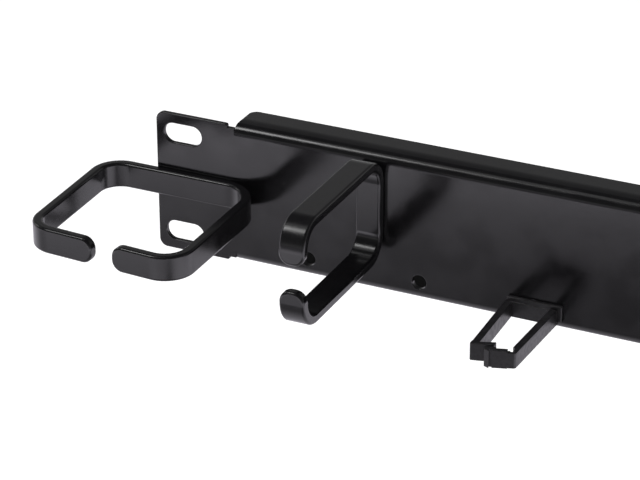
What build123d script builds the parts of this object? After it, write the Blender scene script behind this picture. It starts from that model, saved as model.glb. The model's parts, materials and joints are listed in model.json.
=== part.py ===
from build123d import *
from math import radians, tan
import os

# A horizontal cable manager, one rack unit high, for a 19-inch rack. All sizes are in millimetres.
# X runs along the panel, the front faces -Y and +Z is up. The origin is the centre of the four
# rack slots on the back of the ears, the plane that touches the rack rails.

# Panel: one sheet folded to a channel, with a flat slotted ear at each end
PANEL_LENGTH = 482.6
EAR_HEIGHT = 44.0
EAR_LENGTH = 23.4
EAR_CORNER_RADIUS = 2.6
SHEET = 1.5
CHANNEL_HEIGHT = 43.7
CHANNEL_DEPTH = 12.3
BEND_INNER_RADIUS = 1.5
FLANGE_CORNER_RADIUS = 2.4
RELIEF_WIDTH = 2.25
RELIEF_DEPTH = 1.15
RELIEF_CORNER_RADIUS = 0.7
SHEET_EDGE_RADIUS = 0.3
SLOT_END_DISTANCE = 8.75
SLOT_SPACING_Z = 31.75
SLOT_LENGTH = 12.4
SLOT_WIDTH = 6.2
CLIP_HOLE_DIAMETER = 4.4
CLIP_HOLES_PER_SIDE = 6
CLIP_HOLE_END_DISTANCE = 49.5
CLIP_HOLE_MIDDLE_SPACING = 30.6
CLIP_HOLE_Z = -16.2
CLIP_HOLE_RIM_RADIUS = 0.25

# Flat bar that the rings and hooks are bent from
BAR_WIDTH = 7.8
BAR_THICKNESS = 3.0
BAR_EDGE_RADIUS = 0.8
LIP_END_RADIUS = 3.4

# Level ring at each end of the panel. Its outer arm is shorter and set in at the front, as it was bent.
RING_BEND_RADIUS = 9.0
RING_INNER_BACK_BEND_RADIUS = 12.0
RING_LENGTH = 52.9
RING_OVERHANG = 17.3
RING_OUTER_REACH = 50.7
RING_INNER_REACH = 54.0
RING_OUTER_INSET = 1.0
RING_GAP = 6.6
RING_GAP_SHIFT = 1.0
RING_Z = 0.35

# Upright hooks: one in the middle of the panel and one towards each end
HOOK_BEND_RADIUS = 8.5
HOOK_HEIGHT = 32.7
HOOK_REACH = 52.8
HOOK_GAP = 8.0
HOOK_Z = 5.95
HOOK_END_DISTANCE = 69.8

# Nylon clips: a back plate on a snap stud, a back bar with two arms, and a latch head with a tongue.
# Clips sit in these holes of each side, counted from the middle of the panel.
CLIP_POSITIONS = (2, 4)
PLATE_LEFT = 7.6
PLATE_RIGHT = 9.1
PLATE_THICKNESS = 1.3
PLATE_HEIGHT = 5.0
PLATE_DROP = 0.25
BACK_THICKNESS = 1.6
CLIP_WIDTH = 15.8
CLIP_SHIFT = -0.2
CLIP_DEPTH = 29.8
CLIP_TAPER = 1.0
CLIP_DROP = 1.4
ARM_THICKNESS = 2.2
ARM_HEIGHT = 4.9
CLIP_EDGE_RADIUS = 0.25
HEAD_CORNER_RADIUS = 0.5
HEAD_HEIGHT = 5.4
HEAD_LENGTH = 4.0
HEAD_DEPTH = 2.1
TONGUE_ANGLE = 14.0
TONGUE_STEP = 0.2
TONGUE_LENGTH = 2.6
TONGUE_THICKNESS = 1.9

# Gate: the front bar of the clip, on a film hinge at the right front corner
GATE_LENGTH = 8.1
GATE_HEIGHT = 5.6
GATE_LIFT = 0.2
GATE_THICKNESS = 1.5
GATE_TILT = 17.5
GATE_END_LENGTH = 3.3
GATE_END_THICKNESS = 2.3
RIB_LENGTH = 1.4
RIB_HEIGHT = 0.4
RIB_BEVEL = 0.7
GROOVE_LENGTH = 0.8
GROOVE_DEPTH = 0.5
HINGE_RADIUS = 1.0
HINGE_CLEARANCE = 0.05
NOTCH_RADIUS = 1.3
NOTCH_SHIFT = 0.3
FILM_LENGTH = 1.6
FILM_THICKNESS = 0.6
FILM_NOTCH_RADIUS = 0.65
FILM_NOTCH_SHIFT = 0.5

# Snap stud of the clip, split so that it can spring through its hole
STUD_CLEARANCE = 0.1
BARB_OVERHANG = 0.35
BARB_LENGTH = 2.4
BARB_GAP = 0.1
BARB_TIP_RADIUS = 1.5
STUD_SPLIT = 1.0

# Places worked out from the sizes
FRONT_Y = -SHEET
RELIEF_Z = EAR_HEIGHT / 2 - RELIEF_DEPTH
EAR_END_X = PANEL_LENGTH / 2 - EAR_LENGTH
FLANGE_END_X = EAR_END_X - RELIEF_WIDTH
SLOT_SPACING_X = PANEL_LENGTH - 2 * SLOT_END_DISTANCE
CLIP_HOLE_FIRST_X = CLIP_HOLE_MIDDLE_SPACING / 2
CLIP_HOLE_LAST_X = PANEL_LENGTH / 2 - CLIP_HOLE_END_DISTANCE
CLIP_HOLE_PITCH = (CLIP_HOLE_LAST_X - CLIP_HOLE_FIRST_X) / (CLIP_HOLES_PER_SIDE - 1)
CLIP_HOLE_XS = [CLIP_HOLE_FIRST_X + i * CLIP_HOLE_PITCH for i in range(CLIP_HOLES_PER_SIDE)]
HOOK_X = PANEL_LENGTH / 2 - HOOK_END_DISTANCE
RING_X = PANEL_LENGTH / 2 + RING_OVERHANG - RING_LENGTH / 2
CLIP_XS = [side * CLIP_HOLE_XS[i - 1] for side in (-1, 1) for i in CLIP_POSITIONS]
CLIP_LEFT_X = CLIP_SHIFT - CLIP_WIDTH / 2
CLIP_RIGHT_X = CLIP_SHIFT + CLIP_WIDTH / 2
HINGE_X = CLIP_RIGHT_X - CLIP_TAPER - HINGE_RADIUS
HINGE_Y = CLIP_DEPTH - HINGE_RADIUS


def mitred(corners, shift):
    """An open polyline moved sideways by shift, towards its right-hand side, with mitred corners."""
    moved = []
    last = len(corners) - 1
    for i, corner in enumerate(corners):
        before = (corner - corners[i - 1]).normalized() if i > 0 else None
        after = (corners[i + 1] - corner).normalized() if i < last else None
        sides = [Vector(run.Y, -run.X) for run in (before, after) if run is not None]
        mitre = sides[0] + sides[-1]
        moved.append(corner + mitre * (shift / (1 + sides[0].dot(sides[-1]))))
    return moved


def placed(shape, x, z):
    """A shape drawn with x along the panel and y towards the front, set on the panel's front."""
    return Plane(origin=(x, FRONT_Y, z), x_dir=(1, 0, 0), z_dir=(0, 0, -1)) * shape


def bent_bar(corners, bend_radii):
    """Flat bar bent round the given corners of its outer face, with rounded ends and edges.

    The first corner is the end of one lip and the last is the end of the other. There is one
    outer bend radius for each corner between them.
    """
    outer = FilletPolyline(*corners, radius=bend_radii)
    inner_radii = [radius - BAR_THICKNESS for radius in bend_radii]
    inner = FilletPolyline(*mitred(corners, BAR_THICKNESS), radius=inner_radii)
    ends = [Line(outer @ 0, inner @ 0), Line(outer @ 1, inner @ 1)]
    bar = extrude(make_face([outer, inner] + ends), BAR_WIDTH / 2, both=True)
    for end in ends:
        face = bar.faces().sort_by_distance(end @ 0.5)[0]
        short_edges = face.edges().sort_by(SortBy.LENGTH)[:2]
        bar = fillet(bar.edges().filter_by(lambda e: any(e.is_same(s) for s in short_edges)), LIP_END_RADIUS)
    side_edges = [edge for face in bar.faces().filter_by(Axis.Z) for edge in face.edges()]
    rims = [edge for edge in side_edges if edge.length > BAR_THICKNESS * 1.05]
    return fillet(rims, BAR_EDGE_RADIUS)


def make_panel():
    """The folded channel with its ears, rack slots and clip holes."""
    back_y = FRONT_Y + CHANNEL_DEPTH
    top_z = CHANNEL_HEIGHT / 2
    section = [Vector(back_y, -top_z), Vector(FRONT_Y, -top_z), Vector(FRONT_Y, top_z), Vector(back_y, top_z)]
    outer = FilletPolyline(*section, radius=BEND_INNER_RADIUS + SHEET)
    inner = FilletPolyline(*mitred(section, SHEET), radius=BEND_INNER_RADIUS)
    closing = [Line(outer @ 0, inner @ 0), Line(outer @ 1, inner @ 1)]
    fold = Plane.YZ * make_face([outer, inner] + closing)
    panel = extrude(fold, FLANGE_END_X, both=True)
    panel = fillet(panel.edges().filter_by(Axis.Z).group_by(Axis.Y)[-1], FLANGE_CORNER_RADIUS)

    web = Rectangle(2 * EAR_END_X, 2 * RELIEF_Z)
    for side in (-1, 1):
        ear = Pos(side * (PANEL_LENGTH - EAR_LENGTH) / 2, 0) * Rectangle(EAR_LENGTH, EAR_HEIGHT)
        ear = fillet(ear.vertices().group_by(Axis.X)[::side][-1], EAR_CORNER_RADIUS)
        web += fillet(ear.vertices().group_by(Axis.X)[::side][0], RELIEF_CORNER_RADIUS)
    web -= GridLocations(SLOT_SPACING_X, SLOT_SPACING_Z, 2, 2) * SlotOverall(SLOT_LENGTH, SLOT_WIDTH)
    plate = extrude(Plane.XZ * web, SHEET)
    plate -= extrude(Plane.XZ * Rectangle(2 * FLANGE_END_X, EAR_HEIGHT), SHEET)
    ends = [edge for edge in plate.edges() if abs(edge.center().X) > EAR_END_X + RELIEF_CORNER_RADIUS]
    rims = [edge for edge in ends if abs(edge.center().Y + SHEET / 2) > SHEET / 4]
    panel += fillet(rims, SHEET_EDGE_RADIUS)

    for x in CLIP_HOLE_XS:
        for side in (-1, 1):
            hole = Pos(side * x, CLIP_HOLE_Z) * Circle(CLIP_HOLE_DIAMETER / 2)
            panel -= extrude(Plane.XZ * hole, SHEET)
    round_edges = panel.edges().filter_by(GeomType.CIRCLE)
    hole_edges = [edge for edge in round_edges if abs(edge.arc_center.Z - CLIP_HOLE_Z) < SHEET / 100]
    return fillet(ShapeList(hole_edges).group_by(Axis.Y)[0], CLIP_HOLE_RIM_RADIUS)


def make_ring():
    """The left end ring, level, with its gap at the front."""
    low = -RING_LENGTH / 2
    high = RING_LENGTH / 2
    front_low = Vector(low + RING_OUTER_INSET, RING_OUTER_REACH)
    front_high = Vector(high, RING_INNER_REACH)
    run = front_high - front_low
    gap_low = RING_GAP_SHIFT - RING_GAP / 2 - front_low.X
    gap_high = RING_GAP_SHIFT + RING_GAP / 2 - front_low.X
    corners = [
        front_low + run * (gap_high / run.X),
        front_high,
        Vector(high, 0),
        Vector(low, 0),
        front_low,
        front_low + run * (gap_low / run.X),
    ]
    bend_radii = [RING_BEND_RADIUS, RING_INNER_BACK_BEND_RADIUS, RING_BEND_RADIUS, RING_BEND_RADIUS]
    return placed(bent_bar(corners, bend_radii), -RING_X, RING_Z)


def make_hook():
    """An upright C on the panel's front, open at the front."""
    half = HOOK_HEIGHT / 2
    corners = [
        Vector(HOOK_GAP / 2, HOOK_REACH),
        Vector(half, HOOK_REACH),
        Vector(half, 0),
        Vector(-half, 0),
        Vector(-half, HOOK_REACH),
        Vector(-HOOK_GAP / 2, HOOK_REACH),
    ]
    upright = Plane(origin=(0, FRONT_Y, HOOK_Z), x_dir=(0, 0, 1), z_dir=(1, 0, 0))
    return upright * bent_bar(corners, 4 * [HOOK_BEND_RADIUS])


def hinge_notch():
    """The cutter for the notch at the inner corner that thins the clip down to its film hinge."""
    mouth_x = HINGE_X + HINGE_RADIUS - ARM_THICKNESS - NOTCH_SHIFT
    mouth = Pos(mouth_x, HINGE_Y - NOTCH_RADIUS) * Circle(NOTCH_RADIUS)
    film_y = CLIP_DEPTH - FILM_THICKNESS - FILM_NOTCH_RADIUS
    notch = mouth + Pos(HINGE_X - FILM_NOTCH_SHIFT, film_y) * Circle(FILM_NOTCH_RADIUS)
    return Pos(0, 0, CLIP_DROP) * extrude(notch, ARM_HEIGHT, both=True)


def raised(sketch, height, lift=0):
    """A plan shape of the clip made solid, with its upper and lower rims rounded."""
    solid = extrude(sketch, height / 2, both=True)
    rims = solid.edges().group_by(Axis.Z)
    return Pos(0, 0, CLIP_DROP - lift) * fillet(rims[0] + rims[-1], CLIP_EDGE_RADIUS)


def make_stud():
    """The split snap stud behind the plate."""
    reach = SHEET + BARB_GAP
    hole_radius = CLIP_HOLE_DIAMETER / 2
    stud = extrude(Plane.XZ * Circle(hole_radius - STUD_CLEARANCE), reach)
    barb = Cone(hole_radius + BARB_OVERHANG, BARB_TIP_RADIUS, BARB_LENGTH)
    stud += Pos(0, -reach - BARB_LENGTH / 2, 0) * Rot(90, 0, 0) * barb
    split = Box(STUD_SPLIT, reach + BARB_LENGTH, CLIP_HOLE_DIAMETER * 2)
    return stud - Pos(0, -(reach + BARB_LENGTH) / 2, 0) * split


def make_clip_body():
    """The fixed part of a clip: plate, back bar, arms, latch head with its tongue, and the snap stud."""
    plate_size = (PLATE_LEFT + PLATE_RIGHT, PLATE_THICKNESS, PLATE_HEIGHT)
    plate = fillet(Box(*plate_size).edges(), CLIP_EDGE_RADIUS)
    plate = Pos((PLATE_RIGHT - PLATE_LEFT) / 2, PLATE_THICKNESS / 2, PLATE_DROP) * plate

    front_left = CLIP_LEFT_X + CLIP_TAPER
    left_arm = Polygon(
        (CLIP_LEFT_X, 0),
        (CLIP_LEFT_X + ARM_THICKNESS, 0),
        (front_left + ARM_THICKNESS, CLIP_DEPTH - HEAD_DEPTH / 2),
        (front_left, CLIP_DEPTH - HEAD_DEPTH / 2),
        align=None,
    )
    back_bar = Pos(CLIP_SHIFT, BACK_THICKNESS / 2) * Rectangle(CLIP_WIDTH, BACK_THICKNESS)
    slope = tan(radians(TONGUE_ANGLE))
    step_y = CLIP_DEPTH - slope * HEAD_LENGTH
    end_x = front_left + HEAD_LENGTH + TONGUE_LENGTH
    end_y = step_y - TONGUE_STEP - slope * TONGUE_LENGTH
    head = Polygon(
        (front_left, CLIP_DEPTH),
        (front_left, CLIP_DEPTH - HEAD_DEPTH),
        (front_left + ARM_THICKNESS, CLIP_DEPTH - HEAD_DEPTH),
        (end_x, end_y - TONGUE_THICKNESS),
        (end_x, end_y),
        (front_left + HEAD_LENGTH, step_y - TONGUE_STEP),
        (front_left + HEAD_LENGTH, step_y),
        align=None,
    )
    front_corner = head.vertices().sort_by_distance((front_left, CLIP_DEPTH))[0]
    head = fillet(front_corner, HEAD_CORNER_RADIUS)

    right_arm = Polygon(
        (CLIP_RIGHT_X - ARM_THICKNESS, 0),
        (CLIP_RIGHT_X, 0),
        (HINGE_X + HINGE_RADIUS, HINGE_Y),
        (HINGE_X, HINGE_Y),
        (HINGE_X + HINGE_RADIUS - ARM_THICKNESS, HINGE_Y - NOTCH_RADIUS),
        align=None,
    )
    seat = Cylinder(HINGE_RADIUS + HINGE_CLEARANCE, 2 * ARM_HEIGHT)
    right_arm = raised(right_arm, ARM_HEIGHT) - Pos(HINGE_X, HINGE_Y, CLIP_DROP) * seat
    right_arm -= hinge_notch()
    arms = raised(left_arm + back_bar, ARM_HEIGHT) + raised(head, HEAD_HEIGHT) + right_arm
    return plate + arms + make_stud()


def make_clip_gate():
    """The gate of a clip at rest, its hinge at the clip's right front corner."""
    inner = HINGE_RADIUS - GATE_THICKNESS
    rib_end = RIB_LENGTH - GATE_LENGTH
    bar = Polygon(
        (-FILM_LENGTH, HINGE_RADIUS),
        (rib_end + GROOVE_LENGTH, HINGE_RADIUS),
        (rib_end + GROOVE_LENGTH, HINGE_RADIUS - GROOVE_DEPTH),
        (rib_end, HINGE_RADIUS - GROOVE_DEPTH),
        (rib_end, HINGE_RADIUS + RIB_HEIGHT),
        (-GATE_LENGTH, HINGE_RADIUS - RIB_BEVEL),
        (-GATE_LENGTH, HINGE_RADIUS - GATE_END_THICKNESS),
        (GATE_END_LENGTH - GATE_LENGTH, HINGE_RADIUS - GATE_END_THICKNESS),
        (GATE_END_LENGTH - GATE_LENGTH, inner),
        (-FILM_LENGTH, inner),
        align=None,
    )
    film = Pos(-FILM_LENGTH / 2, (HINGE_RADIUS + inner) / 2) * Rectangle(FILM_LENGTH, GATE_THICKNESS)
    film += Circle(HINGE_RADIUS)
    at_rest = Pos(HINGE_X, HINGE_Y) * Rot(0, 0, -GATE_TILT)
    swung = raised(at_rest * bar, GATE_HEIGHT, GATE_LIFT) + raised(at_rest * film, ARM_HEIGHT)
    return swung - hinge_notch()


def write_step(node, shape, colour):
    """One STEP file for one node."""
    shape.label = node
    shape.color = Color(*colour)
    export_step(shape, f"parts/{node}.step")


os.makedirs("parts", exist_ok=True)
STEEL_COLOUR = (0.05, 0.05, 0.055)
NYLON_COLOUR = (0.09, 0.09, 0.095)
write_step("panel", make_panel(), STEEL_COLOUR)
ring = make_ring()
write_step("ring_left", ring, STEEL_COLOUR)
write_step("ring_right", mirror(ring, Plane.YZ), STEEL_COLOUR)
hook = make_hook()
for name, x in (("left", -HOOK_X), ("middle", 0), ("right", HOOK_X)):
    write_step(f"hook_{name}", Pos(x, 0, 0) * hook, STEEL_COLOUR)
clip_body = make_clip_body()
clip_gate = make_clip_gate()
for number, x in enumerate(sorted(CLIP_XS), start=1):
    write_step(f"clip_body_{number}", placed(clip_body, x, CLIP_HOLE_Z), NYLON_COLOUR)
    write_step(f"clip_gate_{number}", placed(clip_gate, x, CLIP_HOLE_Z), NYLON_COLOUR)
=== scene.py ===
import json
from math import radians

import bpy
import numpy as np
from mathutils import Matrix, Vector


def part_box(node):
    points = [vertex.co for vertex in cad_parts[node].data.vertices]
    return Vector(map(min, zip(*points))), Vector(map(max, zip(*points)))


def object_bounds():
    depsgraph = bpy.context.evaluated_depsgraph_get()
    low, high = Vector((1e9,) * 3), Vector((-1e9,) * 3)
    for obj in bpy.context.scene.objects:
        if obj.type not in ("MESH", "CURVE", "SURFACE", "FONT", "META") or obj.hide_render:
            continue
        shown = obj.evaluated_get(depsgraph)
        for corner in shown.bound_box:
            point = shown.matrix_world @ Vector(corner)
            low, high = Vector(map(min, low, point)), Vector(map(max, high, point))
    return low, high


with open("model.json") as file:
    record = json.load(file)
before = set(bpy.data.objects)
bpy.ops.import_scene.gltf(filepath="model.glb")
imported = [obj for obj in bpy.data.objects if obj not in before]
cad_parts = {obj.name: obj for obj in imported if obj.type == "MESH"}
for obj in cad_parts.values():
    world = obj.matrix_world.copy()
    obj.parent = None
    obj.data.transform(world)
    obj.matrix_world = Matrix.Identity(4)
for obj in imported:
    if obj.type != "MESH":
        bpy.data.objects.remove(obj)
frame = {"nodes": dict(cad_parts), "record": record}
cad_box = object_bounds()

# A horizontal cable manager seen from its right front, with only its left part in the picture.
# Lengths are in metres unless a name says otherwise. X runs along the panel, the front faces -Y
# and +Z is up.

# Camera: where it stands, the way it looks in degrees, and its lens
CAMERA_PLACE = (0.13783, -0.68041, 0.36468)
CAMERA_AZIMUTH = 25.64
CAMERA_ELEVATION = 26.403
CAMERA_ROLL = -0.25
CAMERA_LENS_MM = 162.5
SENSOR_WIDTH_MM = 36

# Powder coat: the size and depth of its orange peel, its fine grain and its slow drift of tone
PEEL_SIZE = 0.0022
PEEL_HEIGHT = 0.0000035
GRAIN_SIZE = 0.0005
GRAIN_SHARE = 0.25
COAT_DRIFT_SIZE = 0.03
COAT_DARK = (0.0038, 0.0036, 0.0042, 1)
COAT_LIGHT = (0.0058, 0.0056, 0.0064, 1)
# Pale edge colour: thin worn coat, and a painted highlight of the lamps along the edges
COAT_WORN_AND_HIGHLIGHT = (0.075, 0.074, 0.080, 1)
COAT_DUST = (0.085, 0.082, 0.078, 1)

# The coat on the sheet and on the bent bars: its smoothest and roughest places, how deep its peel
# is against PEEL_HEIGHT, and how far its edges go over to the pale edge colour of worn thin coat
# with a painted highlight
SHEET_COAT = {"smoothest": 0.15, "roughest": 0.21, "ior": 1.55, "peel": 1.0, "worn_and_highlight": 0.5}
BAR_COAT = {"smoothest": 0.17, "roughest": 0.23, "ior": 1.56, "peel": 0.8, "worn_and_highlight": 0.6}

# Tone and gloss of the grain: the slow noise's share in the tone, the part of each noise that is
# spread from 0 to 1, and how large the gloss's waves are against the drift of tone
SLOW_TONE_SHARE = 0.6
TONE_RANGE = (0.32, 0.68)
GLOSS_RANGE = (0.3, 0.7)
GLOSS_DRIFT_SHARE = 0.37

# The sheet's thickness and its outer bend radius. It bows down gently before its bends: BOW_BACK
# and BOW_FRONT are where this starts and ends, behind the bend's start, and BOW_DEPTH how deep
SHEET = 0.0015
BEND_RADIUS = 0.003
BOW_BACK, BOW_FRONT = 0.0036, -0.0030
BOW_DEPTH = 0.0005

# On the flanges' inner faces the coat is thin and dull: how rough it is there, and how soft the
# mask of these faces is against the sheet's thickness
INSIDE_ROUGHNESS = 0.95
INSIDE_MARGIN = 0.2

# Edges, worn and with a painted highlight: how far in they look worn and lit, the turns of the
# normal between which this sets in, and the size, depth and noise range of the breaks in it
EDGE_RADIUS = 0.0007
EDGE_TURN_START, EDGE_TURN_END = 0.02, 0.2
EDGE_BREAK_SIZE = 0.0035
EDGE_BREAK_AMOUNT = 0.6
EDGE_BREAK_RANGE = (0.42, 0.6)

# Dust baked into the coat: the cells that the specks lie in, the share of cells without one, how
# soft a speck's rim is, and how far it stands up against the peel
DUST_SPACING = 0.009
DUST_RADIUS = 0.00022
DUST_EMPTY_SHARE = 0.3
DUST_SOFTNESS = 0.4
DUST_RELIEF = 2.0

# Nylon: its spark-eroded grain, its flow marks and the paler rub on its edges
NYLON_GRAIN_SIZE = 0.00075
NYLON_FINE_SIZE = NYLON_GRAIN_SIZE / 3
NYLON_FINE_SHARE = 0.3
NYLON_GRAIN_HEIGHT = 0.000022
FLOW_MARK_SIZE = 0.004
NYLON_DARK = (0.0055, 0.0053, 0.0058, 1)
NYLON_LIGHT = (0.0180, 0.0172, 0.0188, 1)
NYLON_RUBBED = (0.060, 0.058, 0.062, 1)
NYLON_RUB_SHARE = 0.5
NYLON_SMOOTHEST, NYLON_ROUGHEST = 0.30, 0.42
NYLON_EDGE_RADIUS = 0.00035
NYLON_BREAK_AMOUNT = 0.8

# Studio floor: how far below the part it lies, its paint, and the light of its own that the camera
# sees, near the part and far off
FLOOR_DROP = 0.16
FLOOR_HALF_SIZE = 8.0
FLOOR_PAINT = (0.8, 0.8, 0.8, 1)
FLOOR_ROUGHNESS = 0.9
FLOOR_GLOW_NEAR, FLOOR_GLOW_FAR = 0.5, 1.0
FLOOR_GLOW_START, FLOOR_GLOW_END = 0.6, 3.0

# The floor as the part's gloss mirrors it, a painted reflection: a bright table, tinted, with a grey
# painted shadow in front of the part, and painted dark past the table's end. The shadow's edge
# towards the camera runs from POOL_FAR, where it is bright, to POOL_NEAR, and tapers away on both
# sides of POOL_MIDDLE. The other edges are given by where they start and end.
MIRRORED_GLOW = 1.1
MIRRORED_TINT = (1.0, 0.94, 1.09, 1)
# How dark the painted shadow in front of the part gets at its darkest
SHADOW_DARKEST = 0.89
POOL_NEAR, POOL_FAR = -0.375, -0.42
POOL_MIDDLE, POOL_TAPER = -0.20, 0.15
POOL_BACK_START, POOL_BACK_END, POOL_BACK_SHARE = -0.22, -0.05, 0.6
POOL_LEFT_START, POOL_LEFT_END, POOL_LEFT_SHARE = -0.17, -0.45, 0.76
POOL_RIGHT_START, POOL_RIGHT_END = 0.02, 0.10
TABLE_FRONT, TABLE_END, BEYOND_TABLE = -0.55, -0.85, 0.2

# Studio room as gloss mirrors it, by the height of the line of sight over the horizon in degrees:
# walls up to WALL_TOP that darken to the ceiling, and a bright skirting at their foot. The front
# wall turns into the back wall while the line of sight's Y goes from -WALL_TURN to WALL_TURN.
WALL_TOP, CEILING_START = 8, 46
WALL_LEVEL_BACK, WALL_LEVEL_FRONT, CEILING_LEVEL = 0.35, 0.12, 0.05
WALL_TURN = 0.3
SKIRTING_TOP, SKIRTING_END, SKIRTING_LEVEL = 3, 9, 0.4

# Softboxes: where each stands, the point it faces, its side and its power in watts, and whether
# the part's gloss mirrors it
SOFTBOXES = {
    "key_softbox": ((-0.70, -0.45, 0.82), (-0.15, 0, 0), 0.30, 1.8, True),
    "upper_softbox": ((-0.45, -0.28, 0.95), (-0.10, 0, 0), 0.40, 0.3, True),
    "left_softbox": ((-1.10, 0.10, 0.50), (-0.15, 0, 0), 0.30, 0.6, True),
    "overhead_fill": ((-0.20, -0.40, 1.60), (-0.10, 0, 0), 1.20, 26, False),
}

BLACK, WHITE = (0, 0, 0, 1), (1, 1, 1, 1)


def add_node(tree, kind, **settings):
    """A new node in a tree, with the properties given by name."""
    node = tree.nodes.new("ShaderNode" + kind)
    for name, value in settings.items():
        setattr(node, name, value)
    return node


def feed(tree, node, **inputs):
    """Fills a node's inputs by number, as i0=..., or by name: a socket is linked, anything else is
    set."""
    for name, value in inputs.items():
        number = name[1:]
        by_number = name[0] == "i" and number.isdigit()
        socket = node.inputs[int(number) if by_number else name]
        if isinstance(value, bpy.types.NodeSocket):
            tree.links.new(value, socket)
        else:
            socket.default_value = value
    return node


def maths(tree, operation, first, second=0.0, clamp=False):
    """The result socket of one Math node."""
    node = add_node(tree, "Math", operation=operation, use_clamp=clamp)
    return feed(tree, node, i0=first, i1=second).outputs[0]


def remap(tree, value, low, high, to_low=0.0, to_high=1.0):
    """A value carried smoothly from one range to another, held at the ends."""
    node = add_node(tree, "MapRange", interpolation_type="SMOOTHSTEP")
    return feed(tree, node, i0=value, i1=low, i2=high, i3=to_low, i4=to_high).outputs[0]


def blend_colours(tree, share, first, second):
    """A colour between two, by a share from 0 to 1."""
    node = add_node(tree, "Mix", data_type="RGBA")
    return feed(tree, node, i0=share, i6=first, i7=second).outputs[2]


def object_place(tree):
    """The socket of the Object coordinates."""
    return add_node(tree, "TexCoord").outputs["Object"]


def split_place(tree, place):
    """The X, Y and Z sockets of a place."""
    return feed(tree, add_node(tree, "SeparateXYZ"), Vector=place).outputs


def new_group(name, inputs, outputs):
    """An empty shader node group: inputs are names with values, outputs are names."""
    tree = bpy.data.node_groups.new(name, "ShaderNodeTree")
    for label, value in inputs.items():
        socket = tree.interface.new_socket(label, in_out="INPUT", socket_type="NodeSocketFloat")
        socket.default_value = value
    for label in outputs:
        tree.interface.new_socket(label, in_out="OUTPUT", socket_type="NodeSocketFloat")
    return tree, tree.nodes.new("NodeGroupInput").outputs, tree.nodes.new("NodeGroupOutput")


def noise_of_size(tree, size, detail, roughness=0.5):
    """Noise from 0 to 1 whose waves are about a size across, in Object coordinates."""
    node = add_node(tree, "TexNoise")
    scale = maths(tree, "DIVIDE", 1.0, size)
    feed(tree, node, Vector=object_place(tree), Scale=scale, Detail=detail, Roughness=roughness)
    return node.outputs["Fac"]


def make_grain_group():
    """Group for a surface's relief and drift of tone.
    Height is coarse noise with a share of fine noise added. Tone is slow noise mixed with the
    coarse one, and Gloss is another slow noise. Both are spread to the whole range from 0 to 1."""
    sizes = {
        "Coarse Size": PEEL_SIZE,
        "Fine Size": GRAIN_SIZE,
        "Fine Share": GRAIN_SHARE,
        "Drift Size": COAT_DRIFT_SIZE,
    }
    tree, given, result = new_group("surface_grain", sizes, ["Height", "Tone", "Gloss"])
    coarse = noise_of_size(tree, given["Coarse Size"], detail=1.0)
    fine = noise_of_size(tree, given["Fine Size"], detail=1.0)
    height = maths(tree, "ADD", coarse, maths(tree, "MULTIPLY", fine, given["Fine Share"]))

    slow = noise_of_size(tree, given["Drift Size"], detail=3.0, roughness=0.6)
    slow_part = maths(tree, "MULTIPLY", slow, SLOW_TONE_SHARE)
    coarse_part = maths(tree, "MULTIPLY", coarse, 1 - SLOW_TONE_SHARE)
    tone = maths(tree, "ADD", slow_part, coarse_part)
    gloss_size = maths(tree, "MULTIPLY", given["Drift Size"], GLOSS_DRIFT_SHARE)
    gloss = noise_of_size(tree, gloss_size, detail=2.0)
    spread_tone = remap(tree, tone, *TONE_RANGE)
    spread_gloss = remap(tree, gloss, *GLOSS_RANGE)
    feed(tree, result, Height=height, Tone=spread_tone, Gloss=spread_gloss)
    return tree


def make_edge_group():
    """Group for the mask of edges, where the coat is worn thin and a highlight is painted paler.
    The mask is how far the normal turns once the edges are rounded over the radius, broken up
    along its length by noise."""
    settings = {
        "Radius": EDGE_RADIUS,
        "Break Size": EDGE_BREAK_SIZE,
        "Break Amount": EDGE_BREAK_AMOUNT,
    }
    tree, given, result = new_group("edge_wear_and_highlight", settings, ["Mask"])
    rounded = feed(tree, add_node(tree, "Bevel", samples=4), Radius=given["Radius"]).outputs[0]
    flat = add_node(tree, "NewGeometry").outputs["Normal"]
    facing = feed(tree, add_node(tree, "VectorMath", operation="DOT_PRODUCT"), i0=rounded, i1=flat)
    away = maths(tree, "SUBTRACT", 1.0, facing.outputs["Value"])
    turned = remap(tree, away, EDGE_TURN_START, EDGE_TURN_END)
    break_noise = noise_of_size(tree, given["Break Size"], detail=3.0, roughness=0.65)
    breaks = remap(tree, break_noise, *EDGE_BREAK_RANGE)
    kept = maths(tree, "SUBTRACT", 1.0, maths(tree, "MULTIPLY", given["Break Amount"], breaks))
    feed(tree, result, Mask=maths(tree, "MULTIPLY", turned, kept, clamp=True))
    return tree


def make_dust_group():
    """Group for scattered specks: round spots about the centres of random cells. Each spot has its
    own radius, drawn with its cell, which is nought for the share of cells that stay empty."""
    settings = {"Spacing": DUST_SPACING, "Speck Radius": DUST_RADIUS}
    tree, given, result = new_group("dust_specks", settings, ["Mask"])
    scale = maths(tree, "DIVIDE", 1.0, given["Spacing"])
    cells = feed(tree, add_node(tree, "TexVoronoi"), Vector=object_place(tree), Scale=scale).outputs
    lot = feed(tree, add_node(tree, "SeparateColor"), Color=cells["Color"]).outputs["Red"]
    radius = maths(tree, "DIVIDE", given["Speck Radius"], given["Spacing"])
    own_radius = maths(tree, "MULTIPLY", radius, remap(tree, lot, DUST_EMPTY_SHARE, 1.0))
    within = maths(tree, "SUBTRACT", own_radius, cells["Distance"])
    feed(tree, result, Mask=remap(tree, maths(tree, "DIVIDE", within, radius), 0.0, DUST_SOFTNESS))
    return tree


def place_group(tree, group, **values):
    """The outputs of a node group placed in a material, its inputs given with spaces written as
    underscores."""
    node = add_node(tree, "Group", node_tree=group)
    for name, value in values.items():
        feed(tree, node, **{name.replace("_", " "): value})
    return node.outputs


def new_material(name):
    """A material with its node tree and Principled shader."""
    material = bpy.data.materials.new(name)
    material.use_nodes = True
    return material, material.node_tree, material.node_tree.nodes["Principled BSDF"]


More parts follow.
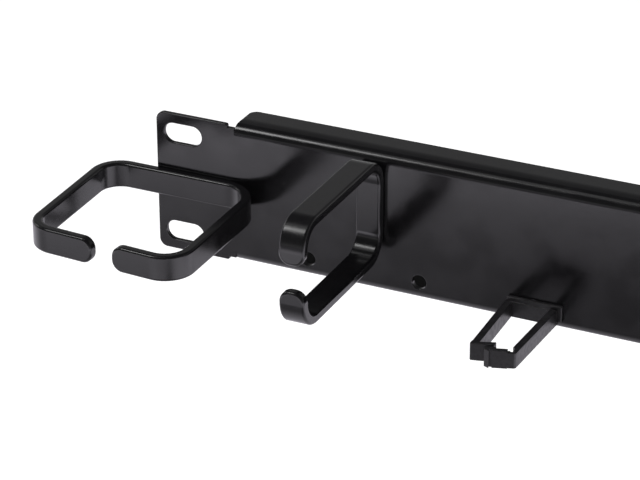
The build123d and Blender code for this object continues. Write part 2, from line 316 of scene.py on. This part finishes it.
def bow_before_bends(tree):
    """The height of the sheet's bow, in metres, from the distance behind the panel's front: it
    drops smoothly by BOW_DEPTH from BOW_BACK to BOW_FRONT behind the bend's start."""
    bend_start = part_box("panel")[0].y + BEND_RADIUS
    y = split_place(tree, object_place(tree))["Y"]
    return remap(tree, y, bend_start + BOW_FRONT, bend_start + BOW_BACK, -BOW_DEPTH, 0.0)


def inside_flanges(tree):
    """1 on the inner faces of the panel's two flanges, else 0: behind the web and at the height of
    those faces, above or below the middle."""
    low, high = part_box("panel")
    web_back, flange_inside = low.y + SHEET, high.z - SHEET
    margin = INSIDE_MARGIN * SHEET
    place = split_place(tree, object_place(tree))
    behind = remap(tree, place["Y"], web_back - margin, web_back)
    off_middle = maths(tree, "ABSOLUTE", place["Z"])
    not_outer = remap(tree, off_middle, flange_inside + margin, flange_inside + 2 * margin, 1.0, 0.0)
    not_web = remap(tree, off_middle, flange_inside - SHEET, flange_inside - margin)
    return maths(tree, "MULTIPLY", behind, maths(tree, "MULTIPLY", not_outer, not_web))


def make_coat(name, groups, coat, folded=False):
    """Semi-gloss black powder coat: orange peel, slow changes of tone and gloss, paler edges where
    the coat is worn thin and a highlight is painted, and a few specks of dust baked in. On the
    folded sheet it also carries the bow before the bends and is dull on the flanges' inner faces."""
    material, tree, shader = new_material(name)
    grain = place_group(tree, groups["grain"])
    edge = place_group(tree, groups["edge"])["Mask"]
    dust = place_group(tree, groups["dust"])["Mask"]

    plain = blend_colours(tree, grain["Tone"], COAT_DARK, COAT_LIGHT)
    # Paler edges: worn thin coat with a painted highlight
    worn_and_highlight = blend_colours(tree, maths(tree, "MULTIPLY", edge, coat["worn_and_highlight"]), plain, COAT_WORN_AND_HIGHLIGHT)
    dusty = blend_colours(tree, dust, worn_and_highlight, COAT_DUST)
    rough = remap(tree, grain["Gloss"], 0.0, 1.0, coat["smoothest"], coat["roughest"])
    relief = maths(tree, "ADD", grain["Height"], maths(tree, "MULTIPLY", dust, DUST_RELIEF))
    height = maths(tree, "MULTIPLY", relief, PEEL_HEIGHT * coat["peel"])
    if folded:
        height = maths(tree, "ADD", height, bow_before_bends(tree))
        dull = maths(tree, "MULTIPLY", inside_flanges(tree), INSIDE_ROUGHNESS)
        rough = maths(tree, "MAXIMUM", rough, dull)

    bump = feed(tree, add_node(tree, "Bump"), Strength=1.0, Distance=1.0, Height=height)
    feed(tree, shader, Roughness=rough, Normal=bump.outputs[0], IOR=coat["ior"])
    tree.links.new(dusty, shader.inputs["Base Color"])
    return material


def make_nylon(name, groups):
    """Moulded black nylon: spark-eroded grain, flow marks and edges rubbed paler."""
    material, tree, shader = new_material(name)
    grain = place_group(
        tree,
        groups["grain"],
        Coarse_Size=NYLON_GRAIN_SIZE,
        Fine_Size=NYLON_FINE_SIZE,
        Fine_Share=NYLON_FINE_SHARE,
        Drift_Size=FLOW_MARK_SIZE,
    )
    edge = place_group(
        tree,
        groups["edge"],
        Radius=NYLON_EDGE_RADIUS,
        Break_Amount=NYLON_BREAK_AMOUNT,
    )["Mask"]

    plain = blend_colours(tree, grain["Tone"], NYLON_DARK, NYLON_LIGHT)
    rubbed = blend_colours(tree, maths(tree, "MULTIPLY", edge, NYLON_RUB_SHARE), plain, NYLON_RUBBED)
    rough = remap(tree, grain["Gloss"], 0.0, 1.0, NYLON_SMOOTHEST, NYLON_ROUGHEST)
    bump = add_node(tree, "Bump")
    feed(tree, bump, Strength=1.0, Distance=NYLON_GRAIN_HEIGHT, Height=grain["Height"])
    feed(tree, shader, Roughness=rough, Normal=bump.outputs[0])
    tree.links.new(rubbed, shader.inputs["Base Color"])
    return material


def dress_nodes():
    """Gives each node of the frame its finish: the folded sheet, the bent bars and the nylon."""
    groups = {"grain": make_grain_group(), "edge": make_edge_group(), "dust": make_dust_group()}
    sheet_coat = make_coat("sheet_powder_coat", groups, SHEET_COAT, folded=True)
    bar_coat = make_coat("bar_powder_coat", groups, BAR_COAT)
    nylon = make_nylon("clip_nylon", groups)
    for part in frame["record"]["subparts"]:
        node = frame["nodes"][part["node"]]
        finish = nylon if part["material_slot"] == "nylon" else bar_coat
        node.data.materials.clear()
        node.data.materials.append(sheet_coat if part["node"] == "panel" else finish)


def painted_shadow_depth(tree, place):
    """How dark the painted shadow on the floor is, from 0 to 1: the product of a smooth step at each
    of its four edges, of which the front one tapers with the distance from the shadow's middle."""
    from_middle = maths(tree, "ABSOLUTE", maths(tree, "SUBTRACT", place["X"], POOL_MIDDLE))
    tapered = maths(tree, "SUBTRACT", place["Y"], maths(tree, "MULTIPLY", from_middle, POOL_TAPER))
    front = remap(tree, tapered, POOL_FAR, POOL_NEAR)
    back = remap(tree, place["Y"], POOL_BACK_START, POOL_BACK_END, 1.0, POOL_BACK_SHARE)
    left = remap(tree, place["X"], POOL_LEFT_END, POOL_LEFT_START, POOL_LEFT_SHARE, 1.0)
    right = remap(tree, place["X"], POOL_RIGHT_START, POOL_RIGHT_END, 1.0, 0.0)
    depth = maths(tree, "MULTIPLY", front, back)
    width = maths(tree, "MULTIPLY", left, right)
    return maths(tree, "MULTIPLY", depth, width)


def make_floor_material():
    """White paint that the lamps light, so it keeps the part's shadow. A little light of its own
    brings it up to white for the camera, more so far off. The part's gloss mirrors it as a painted
    reflection: a brighter, tinted table with a grey painted shadow in front of the part, and
    painted dark past the table's end."""
    material, tree, shader = new_material("floor_white")
    spot = object_place(tree)
    place = split_place(tree, spot)
    # Painted shadow in front of the part, and the floor painted dark past the table's end
    painted_shadow = maths(tree, "MULTIPLY", painted_shadow_depth(tree, place), SHADOW_DARKEST)
    table = remap(tree, place["Y"], TABLE_END, TABLE_FRONT, BEYOND_TABLE, 1.0)
    shaded = maths(tree, "MULTIPLY", table, maths(tree, "SUBTRACT", 1.0, painted_shadow))

    rays = add_node(tree, "LightPath").outputs
    camera = rays["Is Camera Ray"]
    mirrored = maths(tree, "MAXIMUM", rays["Is Glossy Ray"], rays["Is Transmission Ray"])
    distance = feed(tree, add_node(tree, "VectorMath", operation="LENGTH"), i0=spot).outputs["Value"]
    near, far = FLOOR_GLOW_START, FLOOR_GLOW_END
    plain_glow = remap(tree, distance, near, far, FLOOR_GLOW_NEAR, FLOOR_GLOW_FAR)
    # Light of its own that only the part's gloss sees, part of the painted reflection
    mirrored_glow = maths(tree, "MULTIPLY", maths(tree, "MULTIPLY", mirrored, MIRRORED_GLOW), shaded)
    glow = maths(tree, "ADD", maths(tree, "MULTIPLY", camera, plain_glow), mirrored_glow)

    bright = maths(tree, "MAXIMUM", shaded, camera)
    paint = blend_colours(tree, bright, BLACK, FLOOR_PAINT)
    # The painted reflection is tinted; the camera sees the floor white
    tint = blend_colours(tree, camera, MIRRORED_TINT, WHITE)
    feed(tree, shader, **{"Base Color": paint, "Roughness": FLOOR_ROUGHNESS})
    feed(tree, shader, **{"Emission Color": tint, "Emission Strength": glow})
    return material


def make_floor():
    """A wide flat floor below the part: one square on the grid of its four corners."""
    reach = np.array([-FLOOR_HALF_SIZE, FLOOR_HALF_SIZE])
    x, y = np.meshgrid(reach, reach)
    z = np.full_like(x, cad_box[0].z - FLOOR_DROP)
    corners = np.stack([x, y, z], axis=-1).reshape(-1, 3)
    mesh = bpy.data.meshes.new("floor")
    mesh.from_pydata(corners.tolist(), [], [(0, 1, 3, 2)])
    mesh.materials.append(make_floor_material())
    floor = bpy.data.objects.new("floor", mesh)
    bpy.context.scene.collection.objects.link(floor)


def make_world():
    """A studio room, white to the camera. For all else the walls are lighter behind the part than
    in front of it, darken upwards to the ceiling and have a bright skirting at the horizon."""
    world = bpy.data.worlds.new("studio")
    bpy.context.scene.world = world
    world.use_nodes = True
    tree = world.node_tree
    sight = add_node(tree, "TexCoord").outputs["Generated"]
    look = feed(tree, add_node(tree, "VectorMath", operation="NORMALIZE"), i0=sight).outputs[0]
    way = split_place(tree, look)
    climb = maths(tree, "ARCSINE", way["Z"])
    wall = remap(tree, way["Y"], -WALL_TURN, WALL_TURN, WALL_LEVEL_FRONT, WALL_LEVEL_BACK)
    upper = remap(tree, climb, radians(WALL_TOP), radians(CEILING_START), wall, CEILING_LEVEL)
    foot, foot_end = radians(SKIRTING_TOP), radians(SKIRTING_END)
    skirting = remap(tree, climb, foot, foot_end, SKIRTING_LEVEL, 0.0)
    level = maths(tree, "ADD", upper, skirting)

    room = feed(tree, tree.nodes["Background"], Color=WHITE, Strength=level)
    seen = feed(tree, add_node(tree, "Background"), Color=WHITE, Strength=1.0)
    camera = add_node(tree, "LightPath").outputs["Is Camera Ray"]
    mix = add_node(tree, "MixShader")
    feed(tree, mix, i0=camera, i1=room.outputs[0], i2=seen.outputs[0])
    tree.links.new(mix.outputs[0], tree.nodes["World Output"].inputs["Surface"])


def make_softbox(name, place, target, size, power, mirrored):
    """A square softbox that faces a point. One that isn't mirrored lights the part without showing
    in its gloss."""
    light = bpy.data.lights.new(name, "AREA")
    light.size = size
    light.energy = power
    lamp = bpy.data.objects.new(name, light)
    bpy.context.scene.collection.objects.link(lamp)
    lamp.location = place
    lamp.rotation_mode = "QUATERNION"
    lamp.rotation_quaternion = (Vector(target) - Vector(place)).to_track_quat("-Z", "Y")
    lamp.visible_camera = False
    lamp.visible_glossy = mirrored


def make_camera():
    """The camera at the photograph's place and angle."""
    data = bpy.data.cameras.new("camera")
    data.lens = CAMERA_LENS_MM
    data.sensor_width = SENSOR_WIDTH_MM
    camera = bpy.data.objects.new("camera", data)
    bpy.context.scene.collection.objects.link(camera)
    turn = (
        Matrix.Rotation(radians(CAMERA_AZIMUTH), 4, "Z")
        @ Matrix.Rotation(radians(90 - CAMERA_ELEVATION), 4, "X")
        @ Matrix.Rotation(radians(CAMERA_ROLL), 4, "Z")
    )
    camera.matrix_world = Matrix.Translation(CAMERA_PLACE) @ turn
    bpy.context.scene.camera = camera


dress_nodes()
make_floor()
make_world()
for softbox_name, softbox in SOFTBOXES.items():
    make_softbox(softbox_name, *softbox)
make_camera()
bpy.context.scene.view_settings.view_transform = "Standard"
